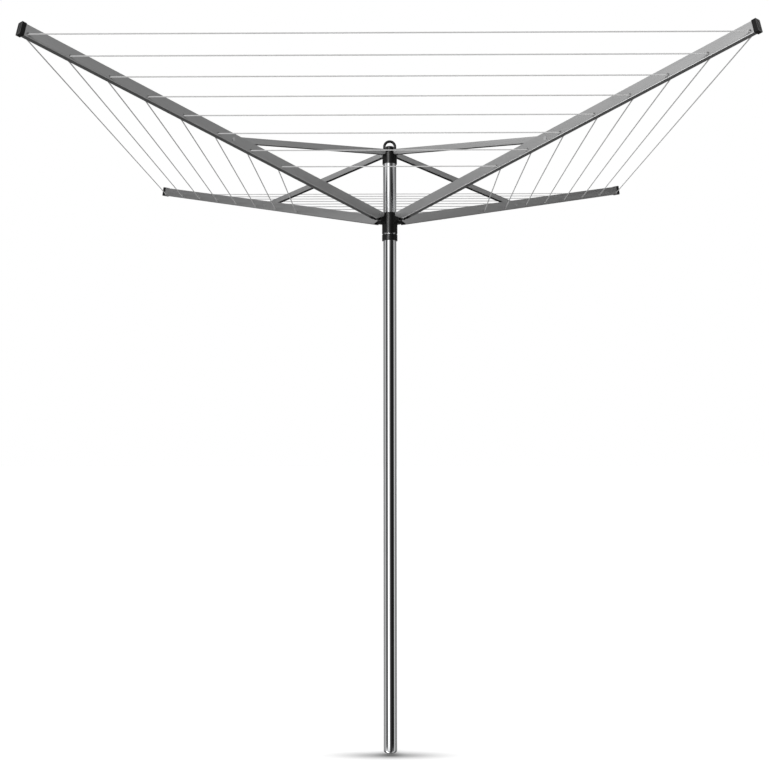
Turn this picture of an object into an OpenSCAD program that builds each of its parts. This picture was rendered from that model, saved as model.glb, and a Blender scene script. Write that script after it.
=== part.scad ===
// Four-armed rotary clothesline: a tubular pole, a turning head, and four arms that fold up like an umbrella.
// The origin is the centre of the pole's lower end, +Z is up, and the arms lie on the diagonals of X and Y.

/* [Pole] */
// Outer diameter of the pole
pole_d = 45; // [40:1:50]
// Wall of the pole tube
pole_wall = 1.5; // [1:0.1:2]
// Height of the pole's upper end
pole_top = 1990; // [1988:1:1991]
// Radius of the rolled-in edge at the lower end
foot_round = 9; // [5:1:12]
// Height of the rolled line that shows how deep the pole stands in a ground socket
socket_depth = 350; // [250:10:450]

/* [Arms] */
// Width of the arm channel
arm_w = 20; // [20:1:24]
// Height of the arm channel
arm_h = 32.5; // [30:0.5:36]
// Wall of the arm channel
arm_wall = 1.6; // [1.4:0.1:1.7]
// Floor of the arm channel
arm_floor = 2; // [1.6:0.1:2.5]
// Slope of the open arms, in degrees
arm_slope = 13.35; // [12.5:0.05:14]
// Distance from the pole's axis to the middle of a tip cap
tip_radius = 1350; // [1340:1:1400]
// Height of the middle of a tip cap
tip_z = 2097.5; // [2090:0.5:2100]
// Length, width and height of a tip cap's outer block
cap_size = [12, 25, 36.5]; // [12:0.5:40]
// Distance from the pole's axis to the pins at the arms' inner ends
arm_pin_radius = 55; // [54:0.5:56]

/* [Washing lines] */
// Diameter of the line
line_d = 3.5; // [3:0.1:4]
// Number of lines between two arms
line_count = 8; // [4:1:9]
// Distance from the pole's axis to the outermost line's holes
line_radius = 1335; // [1300:1:1335]
// Distance between two lines, measured outwards from the pole
line_step = 122; // [80:1:122]
// Depth of the line holes below the middle of the arm
line_drop = 8.5; // [5:0.5:9]

/* [Struts] */
// Width of the strut channel
strut_w = 15; // [13:0.5:15]
// Height of the strut channel
strut_h = 18.4; // [16:0.2:19]
// Wall of the strut channel
strut_wall = 1.4; // [1.2:0.1:1.8]
// Distance from the pole's axis to the rivets that join struts and arms
rivet_radius = 670; // [665:1:675]
// Depth of those rivets below the middle of the arm
rivet_drop = 2; // [0:0.5:3]

/* [Top hub] */
// Diameter of the hub
hub_d = 49.6; // [49.4:0.1:50]
// Height of the hub's lower edge
hub_low = 1976; // [1972:1:1976]
// Height of the hub's shoulder
hub_high = 2012; // [2010:1:2014]
// Diameter of the neck above the shoulder
neck_d = 35.6; // [34:0.2:38]
// Distance from the pole's axis to the strut pins
strut_pin_radius = 35; // [35:0.5:36]
// Height of the strut pins
strut_pin_z = 2013; // [2011:1:2014]
// Diameter of the cover's disc
cover_d = 47.2; // [47:0.2:50]
// Height of the disc's lower side
cover_low = 2019; // [2019:1:2021]
// Thickness of the disc
cover_t = 5; // [4:0.5:6]
// Diameter of the boss on the cover
boss_d = 26.5; // [20:0.5:26.5]
// Height of the boss's top, where the hanging loop's arch begins
boss_high = 2036.5; // [2034:0.5:2038]
// Outer width of the hanging loop
loop_w = 45; // [44:1:45]
// Thickness of the hanging loop
loop_t = 9; // [6:0.2:9]

/* [Slider] */
// Diameter of the sliding hub
slider_d = 52.5; // [51:0.5:53]
// Height of the sliding hub's lower edge
slider_low = 1736.5; // [1735:0.5:1742]
// Height of the sliding hub's upper edge
slider_high = 1807; // [1806:1:1812]
// Height of the release ring
ring_h = 20.5; // [18:0.5:30]
// Gap between the release ring and the sliding hub
ring_gap = 4; // [3:0.5:5]

/* [Hidden] */
$fn = 64;

ALUMINIUM = "silver";
STEEL = "lightgray";
PLASTIC = "#1c1c1c";
LINE = "gainsboro";

run_fit = 0.05;     // radial clearance of a pin or bush that turns or slides
close_fit = 0.02;   // radial clearance of a pin held still
side_gap = 0.4;     // clearance beside a moving part
sink = 0.5;         // how far a cutter runs past the face it cuts

pole_r = pole_d / 2;
bore_r = pole_r - pole_wall;
foot_open = pole_r - foot_round + 0.5;
mark_w = 2;
mark_depth = 0.4;

spindle_r = 6;
plug_len = 40;
plug_flange = 3;
washer_t = 1.5;
washer_gap = 0.1;
clip_t = 1.2;
web_low = pole_top + plug_flange + washer_t + washer_gap;
web_high = hub_high - 3;
skirt_r = 23.4;
recess_r = 13;               // round the spindle's clip, closed by the cover
loop_sunk = 4;               // how deep the hanging loop's legs stand in the cover

pin_r = 3;
rivet_head_r = 5.5;
rivet_head_t = 1.6;
pin_head_t = 1;

// The arm's own frame has its origin at the arm pin and X along the arm.
pin_above_middle = 8;
arm_mid = -pin_above_middle;
arm_low = arm_mid - arm_h / 2;
arm_high = arm_mid + arm_h / 2;
inner_w = arm_w - 2 * arm_wall;
arm_corner = 2.5;
end_reach = 18.5;            // how far the arm goes on inwards past its pin
end_nose_r = 4;              // rounding of that inner end
end_knee = -1.5;             // level of the rounding's centre
end_x = 12;                  // where the slanted inner end meets the arm's lower edge
floor_start = 34;            // the floor is cut away from here inwards, round the slider's tongue
tip_x = arm_x(tip_radius, arm_mid);
arm_pin_z = tip_z - height_rise(tip_x, arm_mid);
arm_end = tip_x - cap_size[0] / 2;
rivet_level = arm_mid - rivet_drop;
rivet_x = arm_x(rivet_radius, rivet_level);
rivet_z = arm_pin_z + height_rise(rivet_x, rivet_level);
line_level = arm_mid - line_drop;
line_r = line_d / 2;
eyelet_bore = 3.4;
eyelet_r = 4.1;
eyelet_flange_r = 4.7;
eyelet_flange_t = 0.7;
eyelet_shift = 1.1;          // a taut line lies against the inner lower side of its eyelets
line_exit = arm_w / 2 + eyelet_flange_t + line_r;

strut_drop = atan2(strut_pin_z - rivet_z, rivet_radius - strut_pin_radius);
strut_len = norm([rivet_radius - strut_pin_radius, strut_pin_z - rivet_z]);
strut_corner = 2.5;
tongue_r = 7.2;              // half the height of the hub's tongues, and the rounding about their pins

slider_r = slider_d / 2;
tongue_w = inner_w - 2 * side_gap;
tongue_low = arm_pin_z - 22.5;
tongue_high = arm_pin_z + 5.5;
nose_r = 4.5;
nose_radius = arm_pin_radius + 8;
bush_r = 24;
collet_high = slider_low + 22;
bush_low = collet_high + 2;
ring_top = slider_low - ring_gap;
spring_r = 24.2;
spring_wire = 1.1;
spring_waves = 5;
spring_steps = 120;

// Distance along the arm at which a point at level z of the arm lies at distance radius from the pole's axis
function arm_x(radius, z) = (radius - arm_pin_radius + z * sin(arm_slope)) / cos(arm_slope);
// Height above the arm pin of a point of the arm's own frame
function height_rise(x, z) = x * sin(arm_slope) + z * cos(arm_slope);
function line_distance(i) = line_radius - i * line_step;
function line_z(i) = arm_pin_z + height_rise(arm_x(line_distance(i), line_level), line_level);

// Turns its children from the X axis to the direction of arm k, from 1 to 4
module towards(k) {
    rotate([0, 0, 90 * k - 45]) children();
}

module in_arm_frame(k) {
    towards(k) translate([arm_pin_radius, 0, arm_pin_z]) rotate([0, -arm_slope, 0]) children();
}

module in_strut_frame(k) {
    towards(k) translate([strut_pin_radius, 0, strut_pin_z]) rotate([0, strut_drop, 0]) children();
}

module ring(r_out, r_in, low, high) {
    translate([0, 0, low]) difference() {
        cylinder(r = r_out, h = high - low);
        translate([0, 0, -sink]) cylinder(r = r_in, h = high - low + 2 * sink);
    }
}

// A cylinder along Y, centred on the XZ plane
module cross_pin(r, length) {
    rotate([90, 0, 0]) cylinder(r = r, h = length, center = true, $fn = 32);
}

// A bar seen from the side (X to the right, Z up), of width w along Y
module side_extrude(w) {
    rotate([90, 0, 0]) linear_extrude(height = w, center = true) children();
}

// Rectangle from [x0, z0] to [x1, z1]
module block_2d(x0, z0, x1, z1) {
    translate([x0, z0]) square([x1 - x0, z1 - z0]);
}

// Outline of a channel with its closed side down: width w, height h, and rounded lower edges
module channel_2d(w, h, wall, floor, corner) {
    difference() {
        union() {
            block_2d(-w / 2, corner, w / 2, h);
            block_2d(corner - w / 2, 0, w / 2 - corner, corner + sink);
            for (s = [-1, 1]) translate([s * (w / 2 - corner), corner]) circle(r = corner, $fn = 32);
        }
        block_2d(wall - w / 2, floor, w / 2 - wall, h + sink);
    }
}

// ---- Pole ----

module main_pole() {
    color(STEEL) difference() {
        rotate_extrude($fn = 96) {
            block_2d(bore_r, foot_round, pole_r, pole_top);
            intersection() {
                difference() {
                    translate([pole_r - foot_round, foot_round]) circle(r = foot_round);
                    translate([pole_r - foot_round, foot_round]) circle(r = foot_round - pole_wall);
                }
                block_2d(foot_open, 0, pole_r, foot_round);
            }
        }
        rotate_extrude($fn = 96)
            block_2d(pole_r - mark_depth, socket_depth, pole_r + sink, socket_depth + mark_w);
    }
}

module foot_plug() {
    color(PLASTIC) difference() {
        union() {
            cylinder(r = foot_open - close_fit, h = 12);
            translate([0, 0, foot_round]) cylinder(r = bore_r - close_fit, h = 25);
        }
        translate([0, 0, 4]) cylinder(r = foot_open - 3, h = 40);
    }
}

module bearing_plug() {
    color(PLASTIC) difference() {
        union() {
            translate([0, 0, pole_top - plug_len]) cylinder(r = bore_r - close_fit, h = plug_len);
            translate([0, 0, pole_top]) cylinder(r = pole_r - 0.1, h = plug_flange);
        }
        ring(spindle_r + close_fit, 0, pole_top - plug_len - sink, pole_top + plug_flange + sink);
        ring(bore_r - 3, spindle_r + 4, pole_top - plug_len - sink, pole_top - 10);
    }
}

// The head sits below the plug, and the clip holds the other end above the hub's web
module spindle() {
    head_t = 2;
    low = pole_top - plug_len - head_t;
    color(STEEL) translate([0, 0, low]) union() {
        cylinder(r = spindle_r + 3, h = head_t);
        cylinder(r = spindle_r, h = web_high + 4 - low);
    }
}

module thrust_washer() {
    low = pole_top + plug_flange;
    color(PLASTIC) ring(pole_r - 1, spindle_r + close_fit, low, low + washer_t);
}

module spindle_clip() {
    color(STEEL) difference() {
        ring(spindle_r + 3, spindle_r + close_fit, web_high + washer_gap, web_high + washer_gap + clip_t);
        translate([spindle_r, -1.5, web_high - sink]) cube([6, 3, 4]);
    }
}

// ---- Turning head ----

// One of the hub's four tongues, which go into the ends of the struts
module hub_tongue() {
    translate([0, 0, strut_pin_z]) side_extrude(strut_w - 2 * strut_wall - 2 * side_gap) {
        block_2d(recess_r + 2, -tongue_r, strut_pin_radius, cover_low - strut_pin_z);
        translate([strut_pin_radius, 0]) circle(r = tongue_r);
    }
}

module top_hub() {
    color(PLASTIC) difference() {
        union() {
            translate([0, 0, hub_low])
                cylinder(r = hub_d / 2, h = hub_high - hub_low, $fn = 96);
            translate([0, 0, hub_high - sink])
                cylinder(r = neck_d / 2, h = cover_low - hub_high + sink, $fn = 96);
            for (k = [1:4]) towards(k) hub_tongue();
        }
        for (k = [1:4]) towards(k) translate([strut_pin_radius, 0, strut_pin_z])
            cross_pin(pin_r + close_fit, 40);
        translate([0, 0, hub_low - sink])
            cylinder(r = skirt_r, h = web_low - hub_low + sink);
        translate([0, 0, web_low - sink])
            cylinder(r = spindle_r + run_fit, h = web_high - web_low + 2 * sink);
        translate([0, 0, web_high]) cylinder(r = recess_r, h = 20);
    }
}

module hub_bush() {
    color(LINE) ring(skirt_r - close_fit, pole_r + run_fit, hub_low + 1, pole_top - 3);
}

// A disc with a boss in the middle; the ring below it closes the hub's recess
module hub_cover() {
    edge = 1.5;
    disc_r = cover_d / 2;
    boss_r = boss_d / 2;
    top = cover_low + cover_t;
    color(PLASTIC) difference() {
        union() {
            rotate_extrude($fn = 96) {
                block_2d(0, cover_low, disc_r, top - edge);
                block_2d(0, cover_low, disc_r - edge, top);
                translate([disc_r - edge, top - edge]) circle(r = edge, $fn = 32);
                block_2d(0, cover_low, boss_r, boss_high - edge);
                block_2d(0, cover_low, boss_r - edge, boss_high);
                translate([boss_r - edge, boss_high - edge]) circle(r = edge, $fn = 32);
            }
            ring(recess_r - close_fit, recess_r - 2, cover_low - 4, cover_low + sink);
        }
        loop_legs(close_fit, sink);
    }
}

// The loop's two straight legs, grown all round by gap and lengthened upwards by extra
module loop_legs(gap, extra) {
    low = cover_low + cover_t - loop_sunk - gap;
    for (s = [-1, 1]) translate([s * (loop_w - loop_t) / 2, 0, low])
        cylinder(r = loop_t / 2 + gap, h = boss_high - low + extra, $fn = 32);
}

module hanging_loop() {
    color(PLASTIC) union() {
        translate([0, 0, boss_high]) rotate([90, 0, 0]) rotate_extrude(angle = 180, $fn = 64)
            translate([(loop_w - loop_t) / 2, 0]) circle(r = loop_t / 2, $fn = 32);
        loop_legs(0, 0);
    }
}

module strut_pin(k) {
    color(STEEL) towards(k) translate([strut_pin_radius, 0, strut_pin_z])
        headed_pin(strut_w + 2 * side_gap, pin_r + 1, pin_head_t);
}

// ---- Sliding hub, with its lock ----

// One tongue carries one arm. Its slot is open below, so the arm's pin can be clipped in from underneath.
module tongue() {
    slot_r = pin_r + run_fit;
    flare = 5;
    side_extrude(tongue_w) difference() {
        union() {
            block_2d(slider_r - 3, tongue_low, nose_radius, tongue_high);
            translate([nose_radius, tongue_low + nose_r]) circle(r = nose_r, $fn = 32);
            block_2d(nose_radius - sink, tongue_low + nose_r, nose_radius + nose_r, tongue_high - nose_r);
            translate([nose_radius, tongue_high - nose_r]) circle(r = nose_r, $fn = 32);
            polygon([
                [slider_r - 3, tongue_low - 12],
                [slider_r + 12, tongue_low + 1],
                [slider_r - 3, tongue_low + 1]
            ]);
        }
        translate([arm_pin_radius, arm_pin_z]) circle(r = slot_r, $fn = 32);
        polygon([
            [arm_pin_radius - slot_r, arm_pin_z],
            [arm_pin_radius + slot_r, arm_pin_z],
            [arm_pin_radius + slot_r + flare, tongue_low - sink],
            [arm_pin_radius - slot_r, tongue_low - sink]
        ]);
    }
}

module slider_hub() {
    color(PLASTIC) difference() {
        union() {
            rotate_extrude($fn = 96) {
                block_2d(bush_r + close_fit, slider_low, slider_r - 1, slider_high);
                block_2d(bush_r + close_fit, slider_low + 1, slider_r, slider_high - 1);
                translate([slider_r - 1, slider_low + 1]) circle(r = 1, $fn = 32);
                translate([slider_r - 1, slider_high - 1]) circle(r = 1, $fn = 32);
            }
            for (k = [1:4]) towards(k) tongue();
        }
        translate([0, 0, slider_low - sink])
            cylinder(r = bush_r + close_fit, h = slider_high - slider_low + 2 * sink, $fn = 96);
    }
}

module slider_bush() {
    color(LINE) ring(bush_r, pole_r + run_fit, bush_low, slider_high - 2);
}

// Split collet: eight fingers that grip the pole inside the sliding hub
module lock_collet() {
    finger_gap = 1.5;
    low = slider_low + 1;
    color(PLASTIC) difference() {
        ring(bush_r, pole_r + run_fit, low, collet_high);
        for (a = [0:45:179]) rotate([0, 0, a + 22.5])
            translate([-40, -finger_gap / 2, low - sink]) cube([80, finger_gap, collet_high - low - 4]);
    }
}

module release_ring() {
    low = ring_top - ring_h;
    color(PLASTIC) difference() {
        rotate_extrude($fn = 96) {
            block_2d(pole_r + side_gap, low, slider_r - 1, ring_top);
            block_2d(pole_r + side_gap, low + 1, slider_r, ring_top - 1);
            translate([slider_r - 1, low + 1]) circle(r = 1, $fn = 32);
            translate([slider_r - 1, ring_top - 1]) circle(r = 1, $fn = 32);
        }
    }
}

// Wave spring in the gap above the release ring
module ring_spring() {
    room = (ring_gap - spring_wire) / 2 - 0.02;
    mid = ring_top + ring_gap / 2;
    half = spring_wire / 2;
    wide = 0.9;
    function wave(a) = mid + room * sin(spring_waves * a);
    function corner(a, r, dz) = [r * cos(a), r * sin(a), wave(a) + dz];
    angles = [for (i = [0:spring_steps - 1]) 360 * i / spring_steps];
    rims = [for (a = angles) each [
        corner(a, spring_r - wide, -half), corner(a, spring_r + wide, -half),
        corner(a, spring_r + wide, half), corner(a, spring_r - wide, half)
    ]];
    function at(i, j) = 4 * (i % spring_steps) + j % 4;
    walls = [for (i = [0:spring_steps - 1], j = [0:3]) each [
        [at(i, j), at(i + 1, j), at(i + 1, j + 1)],
        [at(i, j), at(i + 1, j + 1), at(i, j + 1)]
    ]];
    color(STEEL) polyhedron(points = rims, faces = walls, convexity = 8);
}

// ---- Struts ----

module strut(k) {
    color(ALUMINIUM) in_strut_frame(k) difference() {
        intersection() {
            translate([-strut_h, 0, 0]) rotate([90, 0, 90]) linear_extrude(height = strut_len + 2 * strut_h)
                translate([0, strut_h / 2]) mirror([0, 1])
                    channel_2d(strut_w, strut_h, strut_wall, strut_wall, strut_corner);
            side_extrude(strut_w + 2) {
                block_2d(0, -strut_h / 2, strut_len, strut_h / 2);
                for (x = [0, strut_len]) translate([x, 0]) circle(r = strut_h / 2);
            }
        }
        for (x = [0, strut_len]) translate([x, 0, 0]) cross_pin(pin_r + run_fit, 40);
    }
}

// ---- Arms ----

// The arm seen from the side. Its inner end is upright above, then rounded, and slants to the lower edge.
module arm_side_2d() {
    nose = [end_nose_r - end_reach, end_knee];
    slant = [end_x, arm_low] - nose;
    turn = atan2(slant[1], slant[0]) - acos(end_nose_r / norm(slant));
    block_2d(end_x, arm_low, arm_end, arm_high);
    translate(nose) circle(r = end_nose_r, $fn = 32);
    polygon([
        [end_x + sink, arm_high],
        [-end_reach, arm_high],
        [-end_reach, end_knee],
        nose,
        nose + end_nose_r * [cos(turn), sin(turn)],
        [end_x, arm_low],
        [end_x + sink, arm_low]
    ]);
}

module arm(k) {
    color(ALUMINIUM) in_arm_frame(k) difference() {
        intersection() {
            translate([-40, 0, arm_low]) rotate([90, 0, 90]) linear_extrude(height = arm_end + 40)
                channel_2d(arm_w, arm_h, arm_wall, arm_floor, arm_corner);
            side_extrude(arm_w + 2) arm_side_2d();
        }
        translate([-40, -inner_w / 2, arm_low - sink])
            cube([floor_start + 40, inner_w, arm_floor + 2 * sink]);
        cross_pin(pin_r + close_fit, 40);
        translate([rivet_x, 0, rivet_level]) cross_pin(pin_r + close_fit, 40);
        for (i = [0:line_count - 1]) at_hole(i) cross_pin(eyelet_r + close_fit, 40);
    }
}

// Puts its children at the centre of hole i, on the arm's middle plane
module at_hole(i) {
    translate([arm_x(line_distance(i), line_level) + eyelet_shift, 0, line_level + eyelet_shift]) children();
}

// Rectangle w wide and h high, centred, with rounded corners
module rounded_2d(w, h, r) {
    square([w - 2 * r, h], center = true);
    square([w, h - 2 * r], center = true);
    for (x = [-1, 1], y = [-1, 1])
        translate([x * (w / 2 - r), y * (h / 2 - r)]) circle(r = r, $fn = 32);
}

// An outer block with an oval dish in its end, on a short tongue that stops before the last line's holes
module tip_cap(k) {
    edge = 3;
    play = 0.1;
    tongue_len = 3;
    tongue_h = arm_h - arm_floor - 1;
    dish_t = 1;
    rim = 5;
    color(PLASTIC) in_arm_frame(k) translate([tip_x, 0, arm_mid]) difference() {
        union() {
            rotate([90, 0, 90]) linear_extrude(height = cap_size[0], center = true)
                rounded_2d(cap_size[1], cap_size[2], edge);
            translate([-cap_size[0] / 2 - tongue_len, play - inner_w / 2, arm_floor + play - arm_h / 2])
                cube([tongue_len + 1, inner_w - 2 * play, tongue_h]);
        }
        translate([cap_size[0] / 2 - dish_t, 0, 0]) rotate([90, 0, 90]) linear_extrude(height = dish_t + sink)
            rounded_2d(cap_size[1] - 2 * rim, cap_size[2] - 2 * rim, cap_size[1] / 2 - rim - 0.5);
    }
}

// A pin or rivet of the given length between its two heads
module headed_pin(length, head_r, head_t) {
    cross_pin(pin_r, length + 0.2);
    for (s = [-1, 1]) translate([0, s * (length / 2 + head_t / 2), 0]) cross_pin(head_r, head_t);
}

module arm_pin(k) {
    color(STEEL) in_arm_frame(k) headed_pin(arm_w, pin_r + 1.2, pin_head_t);
}

module strut_rivet(k) {
    color(STEEL) in_arm_frame(k) translate([rivet_x, 0, rivet_level])
        headed_pin(arm_w, rivet_head_r, rivet_head_t);
}

// A flanged eyelet for the line, in each wall at each hole
module line_eyelets(k) {
    color(LINE) in_arm_frame(k) for (i = [0:line_count - 1], s = [-1, 1])
        at_hole(i) translate([0, s * arm_w / 2, 0]) rotate([-90 * s, 0, 0])
            rotate_extrude($fn = 32) {
                block_2d(eyelet_bore, -arm_wall - 0.3, eyelet_r, eyelet_flange_t);
                block_2d(eyelet_bore, 0, eyelet_flange_r, eyelet_flange_t);
            }
}

// ---- Washing lines ----

// The part of each line that belongs to arm k: through the arm, and half way to the arm on each side
module washing_lines(k) {
    color(LINE) towards(k) for (i = [0:line_count - 1]) {
        distance = line_distance(i);
        half_span = (distance - line_exit) / sqrt(2);
        translate([distance, 0, line_z(i)]) {
            cross_pin(line_r, 2 * line_exit);
            for (s = [-1, 1]) translate([0, s * line_exit, 0]) {
                sphere(r = line_r, $fn = 32);
                rotate([0, -90, s * -45]) cylinder(r = line_r, h = half_span, $fn = 32);
            }
        }
    }
}

main_pole();
foot_plug();
bearing_plug();
spindle();
thrust_washer();
spindle_clip();
top_hub();
hub_bush();
hub_cover();
hanging_loop();
slider_hub();
slider_bush();
lock_collet();
release_ring();
ring_spring();
for (k = [1:4]) {
    strut_pin(k);
    strut(k);
    arm(k);
    tip_cap(k);
    arm_pin(k);
    strut_rivet(k);
    line_eyelets(k);
    washing_lines(k);
}
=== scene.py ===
"""Looks of a four-armed rotary clothesline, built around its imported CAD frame.

Everything is in metres in the CAD's own frame: the pole stands on the origin, +Z is up,
and arm k points to 90 k - 45 degrees.
"""

import math

import bmesh
import bpy
from mathutils import Matrix, Vector


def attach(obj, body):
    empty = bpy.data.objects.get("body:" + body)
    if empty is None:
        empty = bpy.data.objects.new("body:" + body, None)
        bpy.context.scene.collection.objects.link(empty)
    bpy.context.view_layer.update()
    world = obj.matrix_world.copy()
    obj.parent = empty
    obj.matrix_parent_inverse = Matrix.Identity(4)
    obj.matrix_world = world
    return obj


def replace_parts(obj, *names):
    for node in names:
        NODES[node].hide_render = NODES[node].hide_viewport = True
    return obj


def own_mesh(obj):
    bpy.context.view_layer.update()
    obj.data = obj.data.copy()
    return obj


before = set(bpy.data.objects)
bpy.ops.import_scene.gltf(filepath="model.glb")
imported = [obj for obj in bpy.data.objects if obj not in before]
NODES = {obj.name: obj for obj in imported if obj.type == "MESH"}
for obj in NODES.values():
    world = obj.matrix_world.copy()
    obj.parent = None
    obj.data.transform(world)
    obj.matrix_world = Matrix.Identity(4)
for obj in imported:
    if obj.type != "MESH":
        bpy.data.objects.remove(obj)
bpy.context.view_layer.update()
MM = 0.001

# ---- Sizes repeated from the CAD source ----

POLE_R = 22.5 * MM
ARM_SLOPE = math.radians(13.35)
ARM_PIN_RADIUS = 55 * MM
ARM_MID = -8 * MM
TIP_RADIUS, TIP_Z = 1350 * MM, 2097.5 * MM
STRUT_PIN_RADIUS, STRUT_PIN_Z = 35 * MM, 2013 * MM
RIVET_RADIUS, RIVET_LEVEL = 670 * MM, ARM_MID - 2 * MM
LINE_R = 1.75 * MM
LINE_COUNT, LINE_RADIUS, LINE_STEP = 8, 1335 * MM, 122 * MM
LINE_LEVEL = ARM_MID - 8.5 * MM
LINE_EXIT = 12.45 * MM
FOLDED_SLOPE = math.radians(88.5)
ARMS = range(1, 5)


def arm_x(radius, level):
    """Distance along an arm of the point at a level of its own frame and a radius from the pole."""
    return (radius - ARM_PIN_RADIUS + level * math.sin(ARM_SLOPE)) / math.cos(ARM_SLOPE)


TIP_X = arm_x(TIP_RADIUS, ARM_MID)
ARM_PIN_Z = TIP_Z - TIP_X * math.sin(ARM_SLOPE) - ARM_MID * math.cos(ARM_SLOPE)


def arm_azimuth(k):
    return math.radians(90 * k - 45)


def arm_matrix(k):
    """From arm k's own frame, with X along the arm, to the row frame."""
    turn = Matrix.Rotation(arm_azimuth(k), 4, "Z")
    place = Matrix.Translation((ARM_PIN_RADIUS, 0, ARM_PIN_Z))
    return turn @ place @ Matrix.Rotation(-ARM_SLOPE, 4, "Y")


RIVET_X = arm_x(RIVET_RADIUS, RIVET_LEVEL)
RIVET_Z = ARM_PIN_Z + RIVET_X * math.sin(ARM_SLOPE) + RIVET_LEVEL * math.cos(ARM_SLOPE)
STRUT_DROP = math.atan2(STRUT_PIN_Z - RIVET_Z, RIVET_RADIUS - STRUT_PIN_RADIUS)


def strut_matrix(k):
    turn = Matrix.Rotation(arm_azimuth(k), 4, "Z")
    place = Matrix.Translation((STRUT_PIN_RADIUS, 0, STRUT_PIN_Z))
    return turn @ place @ Matrix.Rotation(STRUT_DROP, 4, "Y")


# ---- Node helpers ----


class Tree:
    """A short way to add and link shader nodes."""

    def __init__(self, owner):
        owner.use_nodes = True
        self.tree = owner.node_tree
        self.tree.nodes.clear()

    def add(self, kind, inputs=None, **settings):
        node = self.tree.nodes.new(kind)
        for name, value in settings.items():
            setattr(node, name, value)
        for name, value in (inputs or {}).items():
            socket = node.inputs[name]
            if isinstance(value, bpy.types.NodeSocket):
                self.tree.links.new(value, socket)
            else:
                socket.default_value = value
        return node

    def math(self, operation, *values):
        inputs = dict(enumerate(values))
        return self.add("ShaderNodeMath", inputs, operation=operation).outputs[0]

    def spread(self, value, low, high, to_low=0.0, to_high=1.0):
        """value, mapped from low..high to to_low..to_high and held there."""
        node = self.add("ShaderNodeMapRange", {
            "Value": value, "From Min": low, "From Max": high, "To Min": to_low, "To Max": to_high
        })
        return node.outputs[0]

    def ramp(self, value, stops):
        """A colour that follows a value through (place, grey level or colour) stops."""
        node = self.add("ShaderNodeValToRGB", {"Fac": value})
        elements = node.color_ramp.elements
        while len(elements) < len(stops):
            elements.new(0.5)
        for element, (place, level) in zip(elements, sorted(stops)):
            element.position = place
            element.color = level if isinstance(level, tuple) else (level, level, level, 1)
        return node.outputs["Color"]

    def mix(self, share, a, b):
        """Colour a, with that share of colour b."""
        node = self.add("ShaderNodeMix", {0: share}, data_type="RGBA")
        for name, value in (("A", a), ("B", b)):
            socket = [s for s in node.inputs if s.name == name and s.type == "RGBA"][0]
            if isinstance(value, bpy.types.NodeSocket):
                self.tree.links.new(value, socket)
            else:
                socket.default_value = value
        return [s for s in node.outputs if s.type == "RGBA"][0]

    def noise(self, scale, detail, turn=(0, 0, 0), roughness=0.5):
        """Noise with that many cells per metre along the axes of a turned frame."""
        coordinates = self.add("ShaderNodeTexCoord").outputs["Object"]
        turned = self.add("ShaderNodeMapping", {"Vector": coordinates, "Rotation": turn}).outputs[0]
        place = self.add("ShaderNodeMapping", {"Vector": turned, "Scale": scale}).outputs[0]
        inputs = {"Vector": place, "Scale": 1.0, "Detail": detail, "Roughness": roughness}
        return self.add("ShaderNodeTexNoise", inputs).outputs["Fac"]

    def edges(self, radius, low, high):
        """1 on edges sharper than the radius, 0 on faces."""
        soft = self.add("ShaderNodeBevel", {"Radius": radius}, samples=4).outputs[0]
        normal = self.add("ShaderNodeNewGeometry").outputs["Normal"]
        return self.spread(self.math("SUBTRACT", 1.0, self.dot(soft, normal)), low, high)

    def weigh(self, a, part_a, b, part_b):
        """a and b added up, each times its own part."""
        return self.math("MULTIPLY_ADD", a, part_a, self.math("MULTIPLY", b, part_b))

    def dot(self, a, b):
        node = self.add("ShaderNodeVectorMath", {0: a, 1: b}, operation="DOT_PRODUCT")
        return node.outputs["Value"]

    def blend(self, share, a, b):
        """Shader node a, or b where the share is 1."""
        return self.add("ShaderNodeMixShader", {0: share, 1: a.outputs[0], 2: b.outputs[0]})


def grey(level, blue=0.0):
    """A grey colour, a little blue or, below 0, a little yellow."""
    return (level, level * (1 + blue / 2), level * (1 + blue), 1)


def finish_material(tree, colour, rough, height, bump, depth, sockets):
    """Joins colour, roughness and a bump of that strength and depth in one shader."""
    relief = {"Height": height, "Strength": bump, "Distance": depth}
    normal = tree.add("ShaderNodeBump", relief).outputs[0]
    inputs = {"Base Color": colour, "Roughness": rough, "Normal": normal, **sockets}
    surface = tree.add("ShaderNodeBsdfPrincipled", inputs)
    tree.add("ShaderNodeOutputMaterial", {"Surface": surface.outputs[0]})


def new_material(name):
    material = bpy.data.materials.new(name)
    return material, Tree(material)


def turn_to_x(matrix):
    """Mapping rotation that brings a piece's own frame back to the axes."""
    return tuple(matrix.to_3x3().inverted().to_euler("XYZ"))


def extruded_aluminium(name, seat, base, rough):
    """Satin anodised extrusion: fine die lines along it, faint clouds, brighter worn edges."""
    material, tree = new_material(name)
    turn = turn_to_x(seat)
    fine = tree.noise((2, 1500, 1500), 3, turn)
    broad = tree.noise((1.2, 160, 160), 2, turn)
    cloud = tree.noise((9, 30, 30), 4, turn)
    wear = tree.edges(0.0008, 0.02, 0.25)
    lines = tree.weigh(fine, 0.6, broad, 0.4)
    colour = tree.ramp(lines, [(0.3, grey(base * 0.93)), (0.7, grey(base * 1.06, 0.01))])
    colour = tree.mix(tree.spread(cloud, 0.35, 0.75, 0.0, 0.25), colour, grey(base * 0.86, 0.01))
    colour = tree.mix(tree.math("MULTIPLY", wear, 0.35), colour, grey(base * 1.3))
    lined = tree.spread(lines, 0.3, 0.7, rough - 0.05, rough + 0.06)
    roughness = tree.math("ADD", lined, tree.spread(cloud, 0.3, 0.8, 0.0, 0.05))
    sockets = {"Metallic": 1.0, "Anisotropic": 0.35}
    finish_material(tree, colour, roughness, lines, bump=0.25, depth=0.0001, sockets=sockets)
    return material


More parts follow.
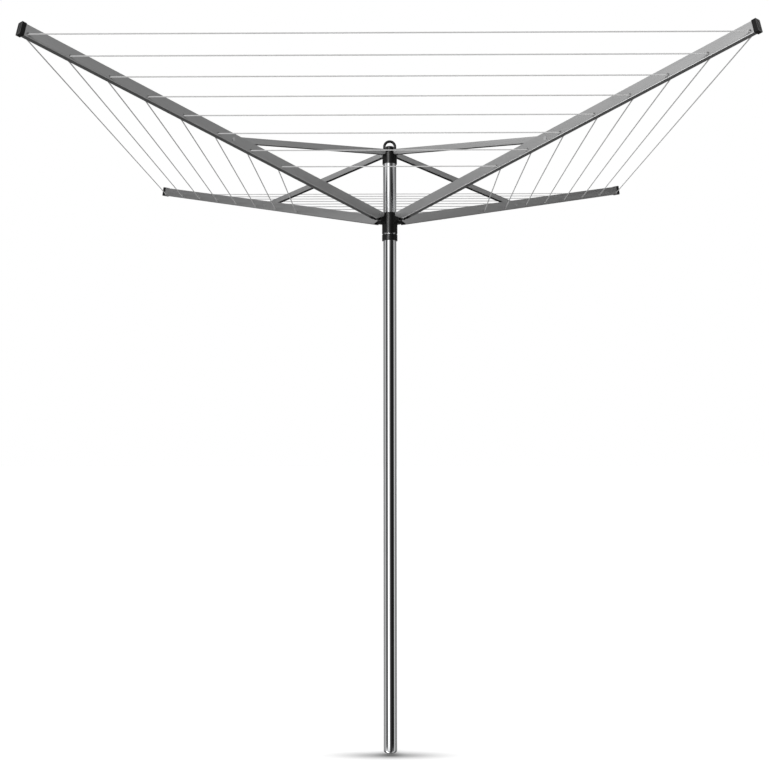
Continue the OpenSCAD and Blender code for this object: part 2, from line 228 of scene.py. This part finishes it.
def chrome(name):
    """Bright drawn tube: faint vertical drawing lines, wipe marks and a few dull specks."""
    material, tree = new_material(name)
    drawn = tree.noise((900, 900, 3), 2)
    wiped = tree.noise((14, 14, 5), 5, turn=(0, 0, 0.3), roughness=0.6)
    specks = tree.noise((420, 420, 420), 1)
    colour = tree.mix(tree.spread(wiped, 0.4, 0.75, 0.0, 0.35), grey(0.80, 0.02), grey(0.72, 0.03))
    colour = tree.mix(tree.spread(specks, 0.72, 0.78), colour, grey(0.5))
    smeared = tree.spread(wiped, 0.35, 0.8, 0.035, 0.11)
    roughness = tree.math("ADD", smeared, tree.spread(specks, 0.7, 0.8, 0.0, 0.2))
    height = tree.weigh(drawn, 0.7, wiped, 0.3)
    sockets = {"Metallic": 1.0}
    finish_material(tree, colour, roughness, height, bump=0.12, depth=0.00004, sockets=sockets)
    return material


def bright_steel(name):
    """Turned and plated pins, rivets and springs."""
    material, tree = new_material(name)
    spin = tree.noise((700, 700, 700), 3)
    stain = tree.noise((60, 60, 60), 4)
    colour = tree.ramp(stain, [(0.3, grey(0.68, 0.02)), (0.75, grey(0.55, 0.01))])
    roughness = tree.spread(spin, 0.25, 0.75, 0.2, 0.38)
    sockets = {"Metallic": 1.0}
    finish_material(tree, colour, roughness, spin, bump=0.2, depth=0.00005, sockets=sockets)
    return material


def moulded_plastic(name, base, rough, shine=0.5):
    """Moulded plastic: fine spark grain, slight flow marks, edges rubbed a little paler."""
    material, tree = new_material(name)
    grain = tree.noise((1600, 1600, 1600), 2)
    flow = tree.noise((45, 45, 22), 4, roughness=0.6)
    wear = tree.edges(0.0009, 0.03, 0.3)
    rubbed = tree.math("MULTIPLY", wear, tree.spread(flow, 0.35, 0.65, 0.2, 0.9))
    rubbed_grey = grey(min(1.0, base * 2.2 + 0.01))
    colour = tree.ramp(flow, [(0.3, grey(base * 0.85)), (0.7, grey(base * 1.2))])
    colour = tree.mix(tree.math("MULTIPLY", rubbed, 0.4), colour, rubbed_grey)
    grained = tree.spread(grain, 0.3, 0.7, rough - 0.05, rough + 0.07)
    roughness = tree.math("ADD", grained, tree.spread(flow, 0.3, 0.7, -0.03, 0.05))
    sockets = {"IOR": 1.5, "Specular IOR Level": shine}
    finish_material(tree, colour, roughness, grain, bump=0.25, depth=0.00006, sockets=sockets)
    return material


def coated_line(name):
    """Smooth plastic coat with a fine grain and broad, slightly yellowed patches."""
    material, tree = new_material(name)
    fine = tree.noise((900, 900, 900), 2)
    dirt = tree.noise((8, 8, 8), 5, roughness=0.6)
    colour = tree.ramp(dirt, [(0.3, grey(0.86, 0.01)), (0.75, grey(0.78, -0.02))])
    roughness = tree.spread(fine, 0.3, 0.7, 0.32, 0.5)
    sockets = {"IOR": 1.5, "Coat Weight": 0.1}
    finish_material(tree, colour, roughness, fine, bump=0.15, depth=0.00005, sockets=sockets)
    return material


ARM_GREY, STRUT_GREY, ALUMINIUM_ROUGH = 0.50, 0.56, 0.30

chrome_pole = chrome("chrome_pole")
steel = bright_steel("bright_steel")
black = moulded_plastic("black_nylon", 0.006, 0.33, shine=0.2)
pale = moulded_plastic("pale_acetal", 0.62, 0.45)
eyelet = moulded_plastic("grey_eyelet", 0.42, 0.42)
line_coat = coated_line("line_coat")
arm_metal = {
    k: extruded_aluminium(f"arm_aluminium_{k}", arm_matrix(k), ARM_GREY, ALUMINIUM_ROUGH)
    for k in ARMS
}
strut_metal = {
    k: extruded_aluminium(f"strut_aluminium_{k}", strut_matrix(k), STRUT_GREY, ALUMINIUM_ROUGH)
    for k in ARMS
}

# ---- Mesh helpers ----


def piece(name, body, material, bm, smooth_angle=35.0):
    """Makes a piece from a bmesh in the row frame and lets it ride on a body."""
    bmesh.ops.recalc_face_normals(bm, faces=bm.faces)
    limit = math.radians(smooth_angle)
    for edge in bm.edges:
        edge.smooth = len(edge.link_faces) == 2 and edge.calc_face_angle(0) < limit
    for face in bm.faces:
        face.smooth = True
    mesh = bpy.data.meshes.new(name)
    bm.to_mesh(mesh)
    bm.free()
    mesh.materials.append(material)
    obj = bpy.data.objects.new(name, mesh)
    bpy.context.scene.collection.objects.link(obj)
    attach(obj, body)
    return obj


def circle(steps):
    """The angles of that many equal steps round a circle."""
    return [2 * math.pi * i / steps for i in range(steps)]


def join_round(bm, rings):
    """Faces between neighbouring rings of points, the last and the first ring included."""
    for i, ring in enumerate(rings):
        following = rings[(i + 1) % len(rings)]
        for j in range(len(ring)):
            n = (j + 1) % len(ring)
            bm.faces.new((ring[j], following[j], following[n], ring[n]))


def join_capped(bm, rings):
    """Faces between neighbouring rings of points, with a cap on the first and the last ring."""
    for a, b in zip(rings, rings[1:]):
        for j in range(len(a)):
            n = (j + 1) % len(a)
            bm.faces.new((a[j], a[n], b[n], b[j]))
    bm.faces.new(rings[0])
    bm.faces.new(rings[-1])


def arc(cx, cy, r, start, end, steps):
    """Points of an arc, angles in degrees."""
    angles = [math.radians(start + (end - start) * i / steps) for i in range(steps + 1)]
    return [(cx + r * math.cos(a), cy + r * math.sin(a)) for a in angles]


def tube(bm, path, radius, sides=12):
    """A capped tube along a path of points."""
    rings = []
    for i, point in enumerate(path):
        along = (path[min(i + 1, len(path) - 1)] - path[max(i - 1, 0)]).normalized()
        side = along.cross(Vector((0, 0, 1))).normalized()
        up = side.cross(along)
        rings.append([
            bm.verts.new(point + radius * (math.cos(a) * side + math.sin(a) * up))
            for a in circle(sides)
        ])
    join_capped(bm, rings)


# ---- Pole ----

FOOT_ROUND, FOOT_LIP, POLE_TOP, WALL = 9 * MM, 0.5 * MM, 1990 * MM, 1.5 * MM
MARK_Z, MARK_W, MARK_DEPTH = 350 * MM, 0.4 * MM, 0.1 * MM
RIM_CHAMFER = 0.4 * MM
POLE_SIDES, FOOT_STEPS, FOOT_INSIDE_STEPS = 160, 14, 10
# Heights in mm of the rows of points along the straight wall: below the mark, above it, in the bore
ROWS_BELOW, ROWS_ABOVE, ROWS_INSIDE = (40, 120, 240), range(450, 1950, 150), (1500, 1000, 500, 60)


def pole_profile():
    """The wall's outline as (radius, height): up the outside, over the rim and down the bore."""
    inner = POLE_R - WALL
    centre = POLE_R - FOOT_ROUND
    lip = centre + FOOT_LIP
    inner_round = FOOT_ROUND - WALL
    start = -math.degrees(math.acos((lip - centre) / FOOT_ROUND))
    inner_start = -math.degrees(math.acos((lip - centre) / inner_round))
    foot = arc(centre, FOOT_ROUND, FOOT_ROUND, start, 0, FOOT_STEPS)
    foot_inside = arc(centre, FOOT_ROUND, inner_round, 0, inner_start, FOOT_INSIDE_STEPS)
    mark = [
        (POLE_R, MARK_Z),
        (POLE_R - MARK_DEPTH, MARK_Z + MARK_W / 4),
        (POLE_R - MARK_DEPTH, MARK_Z + MARK_W * 3 / 4),
        (POLE_R, MARK_Z + MARK_W),
    ]
    below_mark = [(POLE_R, z * MM) for z in ROWS_BELOW]
    above_mark = [(POLE_R, z * MM) for z in ROWS_ABOVE]
    rim = [
        (POLE_R, POLE_TOP - RIM_CHAMFER),
        (POLE_R - RIM_CHAMFER, POLE_TOP),
        (inner + RIM_CHAMFER, POLE_TOP),
        (inner, POLE_TOP - RIM_CHAMFER),
    ]
    bore = [(inner, z * MM) for z in ROWS_INSIDE]
    return foot + below_mark + mark + above_mark + rim + bore + foot_inside


def pole_tube():
    bm = bmesh.new()
    join_round(bm, [
        [bm.verts.new((r * math.cos(a), r * math.sin(a), z)) for r, z in pole_profile()]
        for a in circle(POLE_SIDES)
    ])
    return piece("pole_tube", "pole", chrome_pole, bm)


pole = pole_tube()
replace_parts(pole, "main_pole")

# ---- Washing lines ----

DIAGONAL = math.sqrt(0.5)
KNUCKLE, KNUCKLE_STEPS = 3 * MM, 6
SPAN_STEPS = 10
LOOP_SHARE, LOOP_LIMIT = 0.6, 110 * MM


def line_radius(i):
    """Distance of line i from the pole's axis, counted from the tips."""
    return LINE_RADIUS - i * LINE_STEP


def line_hole(i):
    """Distance of line i's hole along the arm."""
    return arm_x(line_radius(i), LINE_LEVEL)


def line_height(i):
    return ARM_PIN_Z + line_hole(i) * math.sin(ARM_SLOPE) + LINE_LEVEL * math.cos(ARM_SLOPE)


def through_line(k):
    """All the lines inside arm k, bent round the eyelets to the spans on both sides."""
    bm = bmesh.new()
    turn = Matrix.Rotation(arm_azimuth(k), 4, "Z")
    for i in range(LINE_COUNT):
        rho, z = line_radius(i), line_height(i)
        bend = Vector((rho, LINE_EXIT, z))
        start = bend - Vector((0, KNUCKLE, 0))
        end = bend + Vector((-DIAGONAL, DIAGONAL, 0)) * KNUCKLE
        half = []
        for n in range(KNUCKLE_STEPS + 1):
            t = n / KNUCKLE_STEPS
            half.append(start * (1 - t) ** 2 + bend * 2 * t * (1 - t) + end * t ** 2)
        other_half = [Vector((p.x, -p.y, p.z)) for p in reversed(half)]
        path = other_half + [Vector((rho, 0, z))] + half
        tube(bm, [turn @ p for p in path], LINE_R)
    return piece(f"line_crossings_{k}", f"arm_{k}", line_coat, bm)


def half_span(k, i, side):
    """The half of line i that arm k holds on one side.

    It works out how much of the span would keep its length when the arms fold and the line falls
    into a narrow loop beside the pole, and checks that this share lies between 0 and 1.
    """
    rho, z = line_radius(i), line_height(i)
    turn = Matrix.Rotation(arm_azimuth(k), 4, "Z")
    along = Vector((-DIAGONAL, side * DIAGONAL, 0))
    anchor = Vector((rho, side * LINE_EXIT, z)) + along * KNUCKLE
    length = (rho - LINE_EXIT) / DIAGONAL / 2 - KNUCKLE
    bm = bmesh.new()
    path = [turn @ (anchor + along * length * n / SPAN_STEPS) for n in range(SPAN_STEPS + 1)]
    tube(bm, path, LINE_R)
    name = f"line_{k}_{'left' if side < 0 else 'right'}_{i + 1}"
    obj = piece(name, f"arm_{k}", line_coat, bm)

    arm_dir = Vector((math.cos(ARM_SLOPE), 0, math.sin(ARM_SLOPE)))
    arm_up = Vector((-math.sin(ARM_SLOPE), 0, math.cos(ARM_SLOPE)))
    span = along * length
    out, up, across = span.dot(arm_dir), span.dot(arm_up), abs(span.y)
    # When the arm stands up, its own "up" points to the pole, and the loop's end comes
    # to equal distances from the two arms that share the line.
    hole = (ARM_PIN_RADIUS + line_hole(i) * math.cos(FOLDED_SLOPE)
            - LINE_LEVEL * math.sin(FOLDED_SLOPE))
    reach = min(LOOP_SHARE * hole, LOOP_LIMIT)
    folded_across = reach - abs(anchor.y)
    folded_up = (hole + out * math.cos(FOLDED_SLOPE) - reach) / math.sin(FOLDED_SLOPE)
    change = arm_up * (up - folded_up) + Vector((0, side * (across - folded_across), 0))
    keep = 1 - change.length / span.dot(change.normalized())
    assert 0 < keep <= 1, (k, i, side, keep)
    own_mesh(obj)


for k in ARMS:
    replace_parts(through_line(k), f"washing_lines_{k}")
    for i in range(LINE_COUNT):
        for side in (-1, 1):
            half_span(k, i, side)

# ---- Wave spring over the release ring ----

SPRING_R, SPRING_HALF, SPRING_WIRE, SPRING_WAVES = 24.2 * MM, 0.9 * MM, 1.1 * MM, 5
SPRING_CLEAR, SPRING_STEPS = 0.04 * MM, 200
SLIDER_LOW, RING_GAP, RING_STROKE = 1736.5 * MM, 4 * MM, 2.5 * MM


def wave_spring():
    """The spring between the sliding hub and its ring, waved to fill the gap between them with the
    ring down.
    """
    bm = bmesh.new()
    swing = (RING_GAP - SPRING_WIRE) / 2 - SPRING_CLEAR
    mid = SLIDER_LOW - RING_GAP / 2
    rings = []
    for a in circle(SPRING_STEPS):
        z = mid + swing * math.sin(SPRING_WAVES * a)
        rings.append([
            bm.verts.new((r * math.cos(a), r * math.sin(a), z + rise))
            for r, rise in (
                (SPRING_R - SPRING_HALF, -SPRING_WIRE / 2),
                (SPRING_R + SPRING_HALF, -SPRING_WIRE / 2),
                (SPRING_R + SPRING_HALF, SPRING_WIRE / 2),
                (SPRING_R - SPRING_HALF, SPRING_WIRE / 2),
            )
        ])
    join_round(bm, rings)
    spring = piece("wave_spring", "slider", steel, bm)
    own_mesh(spring)
    return spring


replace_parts(wave_spring(), "ring_spring")

# ---- Buttons in the tip caps' ends ----

CAP_LENGTH, DISH, BUTTON_R, BUTTON_STRAIGHT = 12 * MM, 1 * MM, 6.4 * MM, 6.25 * MM
BUTTON_FOOT, BUTTON_EDGE, BUTTON_DOME = -0.3 * MM, 0.25 * MM, 1.0 * MM
BUTTON_POWER = 2.4
BUTTON_SIDES, BUTTON_STEPS = 48, 8
BUTTON_SMOOTH = 50
SEAM = 1e-6


def button(k):
    """A slightly domed oval that fills the dish in the end of a cap."""
    bm = bmesh.new()
    seat = arm_matrix(k) @ Matrix.Translation((TIP_X + CAP_LENGTH / 2 - DISH, 0, ARM_MID))
    shares = [1 - j / (BUTTON_STEPS + 0.5) for j in range(BUTTON_STEPS + 1)]
    levels = [(1, BUTTON_FOOT)]
    levels += [(s, BUTTON_EDGE + BUTTON_DOME * (1 - s ** BUTTON_POWER)) for s in shares]
    rings = []
    for share, rise in levels:
        ring = []
        for a in circle(BUTTON_SIDES):
            # the seam's small angle gives both ends of the oval the same number of points
            end = math.copysign(BUTTON_STRAIGHT, math.sin(a + SEAM))
            y, z = BUTTON_R * math.cos(a), BUTTON_R * math.sin(a) + end
            ring.append(bm.verts.new(seat @ Vector((rise, y * share, z * share))))
        rings.append(ring)
    join_capped(bm, rings)
    piece(f"cap_button_{k}", f"arm_{k}", black, bm, BUTTON_SMOOTH)


for k in ARMS:
    button(k)

# ---- Carried-over CAD nodes ----

LOOKS = (
    (black, ("foot_plug", "bearing_plug", "thrust_washer", "top_hub", "hub_cover", "hanging_loop",
             "slider_hub", "lock_collet", "release_ring", "tip_cap")),
    (steel, ("spindle", "spindle_clip", "strut_pin", "arm_pin", "strut_rivet", "ring_spring")),
    (pale, ("hub_bush", "slider_bush")),
    (eyelet, ("line_eyelets",)),
)
LOOK_OF = {kind: material for material, kinds in LOOKS for kind in kinds}
# Widths of the rounded edges in mm
ROUNDED = {
    "top_hub": 0.6, "slider_hub": 0.5, "tip_cap": 0.5, "hub_cover": 0.4, "strut_rivet": 0.4,
    "release_ring": 0.3, "arm": 0.3, "strut": 0.3, "arm_pin": 0.25, "strut_pin": 0.25,
}
WELD_WITHIN = 0.00001
SHARP_FROM = math.radians(38)


def soften(obj, width):
    """Rounds the sharp edges of a CAD part, like those of a moulding or a tumbled part."""
    weld = obj.modifiers.new("weld", "WELD")
    weld.merge_threshold = WELD_WITHIN
    bevel = obj.modifiers.new("bevel", "BEVEL")
    bevel.width = width * MM
    bevel.segments = 3
    bevel.limit_method = "ANGLE"
    bevel.angle_limit = SHARP_FROM
    bevel.harden_normals = False
    normals = obj.modifiers.new("normals", "WEIGHTED_NORMAL")
    normals.keep_sharp = False


for name, obj in NODES.items():
    kind, _, number = name.rpartition("_")
    kind = kind if number.isdigit() else name
    if kind == "arm":
        material = arm_metal[int(number)]
    elif kind == "strut":
        material = strut_metal[int(number)]
    else:
        material = LOOK_OF.get(kind)
    if material:
        obj.data.materials.clear()
        obj.data.materials.append(material)
    if kind in ROUNDED:
        soften(obj, ROUNDED[kind])

# ---- Studio ----

# Light bands that the shiny parts reflect: (azimuth in degrees, counted from the front with right
# positive; brightness). A direction's height chooses the set.
LOW_BANDS = [
    (-180, 0.36), (-118, 0.42), (-110, 0.24), (-98, 0.24), (-91, 0.68), (-78, 0.6), (-72, 0.05),
    (-56, 0.05), (-48, 0.2), (-38, 0.3), (-30, 1.9), (-18, 1.9), (-10, 0.5), (3, 0.10), (14, 0.04),
    (26, 0.015), (54, 0.015), (62, 0.06), (72, 0.15), (77, 0.95), (85, 0.95), (89, 0.36),
    (94, 0.32), (98, 0.18), (110, 0.18), (120, 0.34), (180, 0.36),
]
MID_BANDS = [
    (-180, 0.36), (-118, 0.36), (-112, 0.05), (-97, 0.05), (-92, 0.85), (-78, 0.72), (-72, 0.05),
    (-56, 0.05), (-48, 0.25), (-38, 0.4), (-30, 1.9), (-18, 1.9), (-10, 0.9), (3, 0.22),
    (14, 0.08), (26, 0.02), (54, 0.02), (62, 0.06), (72, 0.15), (77, 0.9), (84, 0.9), (88, 0.34),
    (93, 0.34), (96, 0.03), (114, 0.03), (120, 0.3), (180, 0.36),
]
HIGH_BANDS = [
    (-180, 0.35), (-148, 0.35), (-140, 0.02), (-99, 0.02), (-95, 0.65), (-90, 0.74), (-81, 0.80),
    (-72, 1.6), (-52, 1.45), (-36, 0.5), (-30, 1.9), (-17, 1.9), (-8, 0.3), (20, 0.08), (48, 0.30),
    (56, 0.95), (66, 0.8), (74, 0.4), (80, 0.22), (88, 0.24), (94, 0.3), (98, 0.01), (140, 0.01),
    (148, 0.35), (180, 0.35),
]
UNDER_BANDS = [
    (-180, 0.10), (-95, 0.10), (-82, 0.4), (-74, 2.6), (-50, 2.6), (-40, 0.3), (-20, 0.05),
    (30, 0.05), (48, 0.6), (76, 0.6), (90, 0.2), (105, 0.12), (150, 0.13), (180, 0.10),
]
DEEP_BANDS = [
    (-180, 0.06), (-108, 0.10), (-92, 0.5), (-82, 2.4), (-50, 2.6), (-35, 0.3), (0, 0.1),
    (40, 0.1), (50, 0.6), (85, 0.5), (105, 0.2), (140, 0.08), (180, 0.06),
]
# The z of a direction where a set begins to take over from those before it, and where it has
TO_MID, TO_HIGH, TO_ABOVE = (0.15, 0.19), (0.225, 0.275), (0.55, 0.85)
TO_UNDER, TO_DEEP = (-0.27, -0.34), (-0.62, -0.74)
ABOVE_LEVEL = 0.5
# Matt surfaces are lit softly from the front left instead
KEY_AZIMUTH, KEY_LEVEL, FILL_LEVEL = math.radians(-35), 0.84, 0.23


def make_world():
    """Light bands for reflections, a soft key for matt surfaces, and white for the camera."""
    world = bpy.data.worlds.new("studio")
    bpy.context.scene.world = world
    tree = Tree(world)
    direction = tree.add("ShaderNodeTexCoord").outputs["Generated"]
    x, y, z = tree.add("ShaderNodeSeparateXYZ", {0: direction}).outputs
    turn = tree.math("ARCTAN2", x, tree.math("MULTIPLY", y, -1.0))
    share = tree.math("MULTIPLY_ADD", turn, 1 / (2 * math.pi), 0.5)
    low, middle, high, under, deep = (
        tree.ramp(share, [(a / 360 + 0.5, level) for a, level in bands])
        for bands in (LOW_BANDS, MID_BANDS, HIGH_BANDS, UNDER_BANDS, DEEP_BANDS)
    )
    bands = low
    for heights, following in (
        (TO_MID, middle), (TO_HIGH, high), (TO_ABOVE, grey(ABOVE_LEVEL)),
        (TO_UNDER, under), (TO_DEEP, deep),
    ):
        bands = tree.mix(tree.spread(z, *heights), bands, following)
    studio = tree.add("ShaderNodeBackground", {"Color": bands, "Strength": 1.0})
    facing = tree.dot(direction, (math.sin(KEY_AZIMUTH), -math.cos(KEY_AZIMUTH), 0))
    facing = tree.math("MAXIMUM", facing, 0.0)
    soft_level = tree.math("MULTIPLY_ADD", facing, KEY_LEVEL, FILL_LEVEL)
    soft = tree.add("ShaderNodeBackground", {"Color": grey(1.0), "Strength": soft_level})
    white = tree.add("ShaderNodeBackground", {"Color": grey(1.0), "Strength": 1.0})
    ray = tree.add("ShaderNodeLightPath").outputs
    lit = tree.blend(ray["Is Diffuse Ray"], studio, soft)
    seen = tree.blend(ray["Is Camera Ray"], lit, white)
    tree.add("ShaderNodeOutputWorld", {"Surface": seen.outputs[0]})


def make_lamp(name, targets, bearing, height, energy, angle):
    """A soft lamp for its targets only. Angles are in degrees, the bearing from the front."""
    lamp = bpy.data.lights.new(name, "SUN")
    lamp.energy = energy
    lamp.angle = math.radians(angle)
    light = bpy.data.objects.new(name, lamp)
    a, h = math.radians(bearing), math.radians(height)
    source = Vector((math.sin(a) * math.cos(h), -math.cos(a) * math.cos(h), math.sin(h)))
    light.rotation_euler = source.to_track_quat("Z", "Y").to_euler()
    bpy.context.scene.collection.objects.link(light)
    lit = bpy.data.collections.new(f"{name}_lit")
    for obj in targets:
        lit.objects.link(obj)
    light.light_linking.receiver_collection = lit


def make_lamps():
    """One lamp gives the black mouldings a bright edge; two more show the ends of the caps."""
    meshes = [obj for obj in bpy.context.scene.objects if obj.type == "MESH" and obj.data.materials]
    mouldings = [obj for obj in meshes if obj.data.materials[0] == black]
    ends = [obj for obj in mouldings if obj.name.startswith(("cap_button", "tip_cap"))]
    make_lamp("key", mouldings, bearing=-23, height=13, energy=1.9, angle=12)
    make_lamp("end_light_right", ends, bearing=119, height=29, energy=0.2, angle=30)
    make_lamp("end_light_left", ends, bearing=-119, height=29, energy=0.15, angle=30)


FLOOR_Z, FLOOR_HALF = -0.5 * MM, 60
# The paper's glow keeps it evenly white; its darkest grey and the two soft ovals below are a
# painted shadow round the pole's foot
PAPER_GLOW, PAPER_SHADOW_GREY = 0.74, 0.1
WIDE_SHADOW, WIDE_SHADOW_DEPTH = {"size": (0.16, 0.042), "centre_y": -0.035}, 0.68
CLOSE_SHADOW, CLOSE_SHADOW_DEPTH = {"size": (0.035, 0.035), "centre_y": -0.02}, 0.27


def painted_shadow_patch(tree, size, centre_y):
    """The mask of a painted shadow: 1 at the middle of an oval on the floor, falling softly to 0.
    """
    scale = (1 / size[0], 1 / size[1], 0)
    place = tree.add("ShaderNodeMapping", {
        "Vector": tree.add("ShaderNodeTexCoord").outputs["Object"],
        "Location": (0, -centre_y * scale[1], 0),
        "Scale": scale,
    }).outputs[0]
    away = tree.add("ShaderNodeVectorMath", {0: place}, operation="LENGTH").outputs["Value"]
    return tree.math("EXPONENT", tree.math("MULTIPLY", tree.math("MULTIPLY", away, away), -1.0))


def floor_paper():
    """White paper with a painted shadow: two soft dark ovals round the pole's foot darken its
    colour and dim its glow.
    """
    material, tree = new_material("floor_paper")
    speck = tree.noise((30, 30, 30), 3)
    wide_shadow = painted_shadow_patch(tree, **WIDE_SHADOW)
    close_shadow = painted_shadow_patch(tree, **CLOSE_SHADOW)
    # painted shadow: the two ovals darken the paper's colour and its glow
    light = tree.math("SUBTRACT", 1.0, tree.weigh(wide_shadow, WIDE_SHADOW_DEPTH, close_shadow, CLOSE_SHADOW_DEPTH))
    white = tree.ramp(speck, [(0.3, grey(0.8)), (0.7, grey(0.83))])
    colour = tree.mix(light, grey(PAPER_SHADOW_GREY), white)
    glow_level = tree.math("MULTIPLY", light, PAPER_GLOW)
    paper = tree.add("ShaderNodeBsdfDiffuse", {"Color": colour})
    glow = tree.add("ShaderNodeEmission", {"Color": grey(1.0), "Strength": glow_level})
    both = tree.add("ShaderNodeAddShader", {0: paper.outputs[0], 1: glow.outputs[0]})
    tree.add("ShaderNodeOutputMaterial", {"Surface": both.outputs[0]})
    return material


def make_floor():
    bm = bmesh.new()
    bmesh.ops.create_grid(bm, x_segments=8, y_segments=8, size=FLOOR_HALF)
    mesh = bpy.data.meshes.new("floor")
    bm.to_mesh(mesh)
    bm.free()
    mesh.materials.append(floor_paper())
    floor = bpy.data.objects.new("floor", mesh)
    floor.location.z = FLOOR_Z
    bpy.context.scene.collection.objects.link(floor)
    floor.visible_glossy = False
    floor.visible_diffuse = False


make_world()
make_lamps()
make_floor()

# ---- Camera ----

EYE = (0.015585, -3.897299, 1.007147)
YAW, PITCH, ROLL = math.radians(-0.50043), math.radians(3.19677), math.radians(-0.05617)
LENS, SENSOR, FAR = 54.10, 36, 200


def make_camera():
    """The camera fitted to the photo: yaw turns it to the right, pitch up, roll anticlockwise."""
    camera = bpy.data.objects.new("camera", bpy.data.cameras.new("camera"))
    forward = Vector((
        math.sin(YAW) * math.cos(PITCH), math.cos(YAW) * math.cos(PITCH), math.sin(PITCH)
    ))
    level_right = Vector((math.cos(YAW), -math.sin(YAW), 0))
    level_up = level_right.cross(forward)
    right = math.cos(ROLL) * level_right + math.sin(ROLL) * level_up
    up = right.cross(forward)
    turn = Matrix((right, up, -forward)).transposed().to_4x4()
    camera.matrix_world = Matrix.Translation(EYE) @ turn
    camera.data.lens = LENS
    camera.data.sensor_width = SENSOR
    camera.data.clip_end = FAR
    bpy.context.scene.collection.objects.link(camera)
    bpy.context.scene.camera = camera


make_camera()
bpy.context.scene.view_settings.view_transform = "Standard"

bpy.context.view_layer.update()
